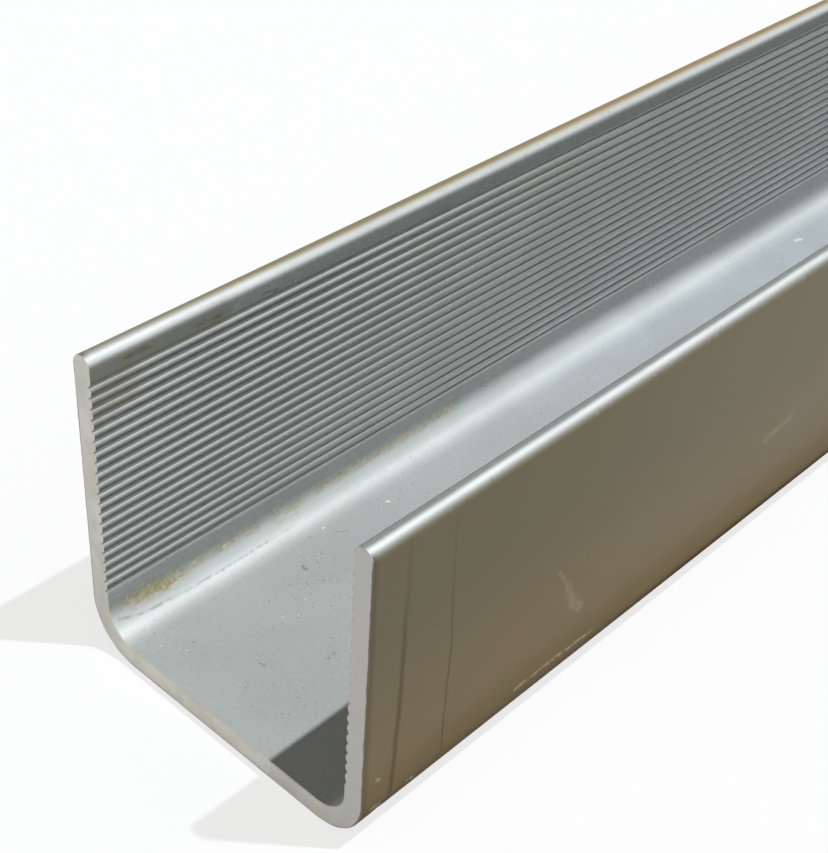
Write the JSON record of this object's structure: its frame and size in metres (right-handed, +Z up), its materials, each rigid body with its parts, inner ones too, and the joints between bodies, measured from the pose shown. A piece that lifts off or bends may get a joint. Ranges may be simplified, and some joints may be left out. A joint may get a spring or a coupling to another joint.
{
  "type": "aluminium handle profile",
  "caption": "Straight length of extruded aluminium channel used as a pull handle, with rounded leg tips, rounded outer corners and fine grip ribs along the inner faces of both legs.",
  "frame": {"origin": "middle of the underside of the web, half way along the length, at the bottom centre of the bounding box", "axes": "+Y along the length, away from the sawn end that the picture shows; +X across the width, towards the leg whose outer face the picture shows; +Z up, from the web to the leg tips"},
  "size_m": [0.025, 1, 0.0235],
  "materials": {
    "anodised_aluminium": "satin natural anodised extrusion with sawn ends"
  },
  "bodies": {
    "root": {"handle_profile": "anodised_aluminium"}
  },
  "joints": []
}
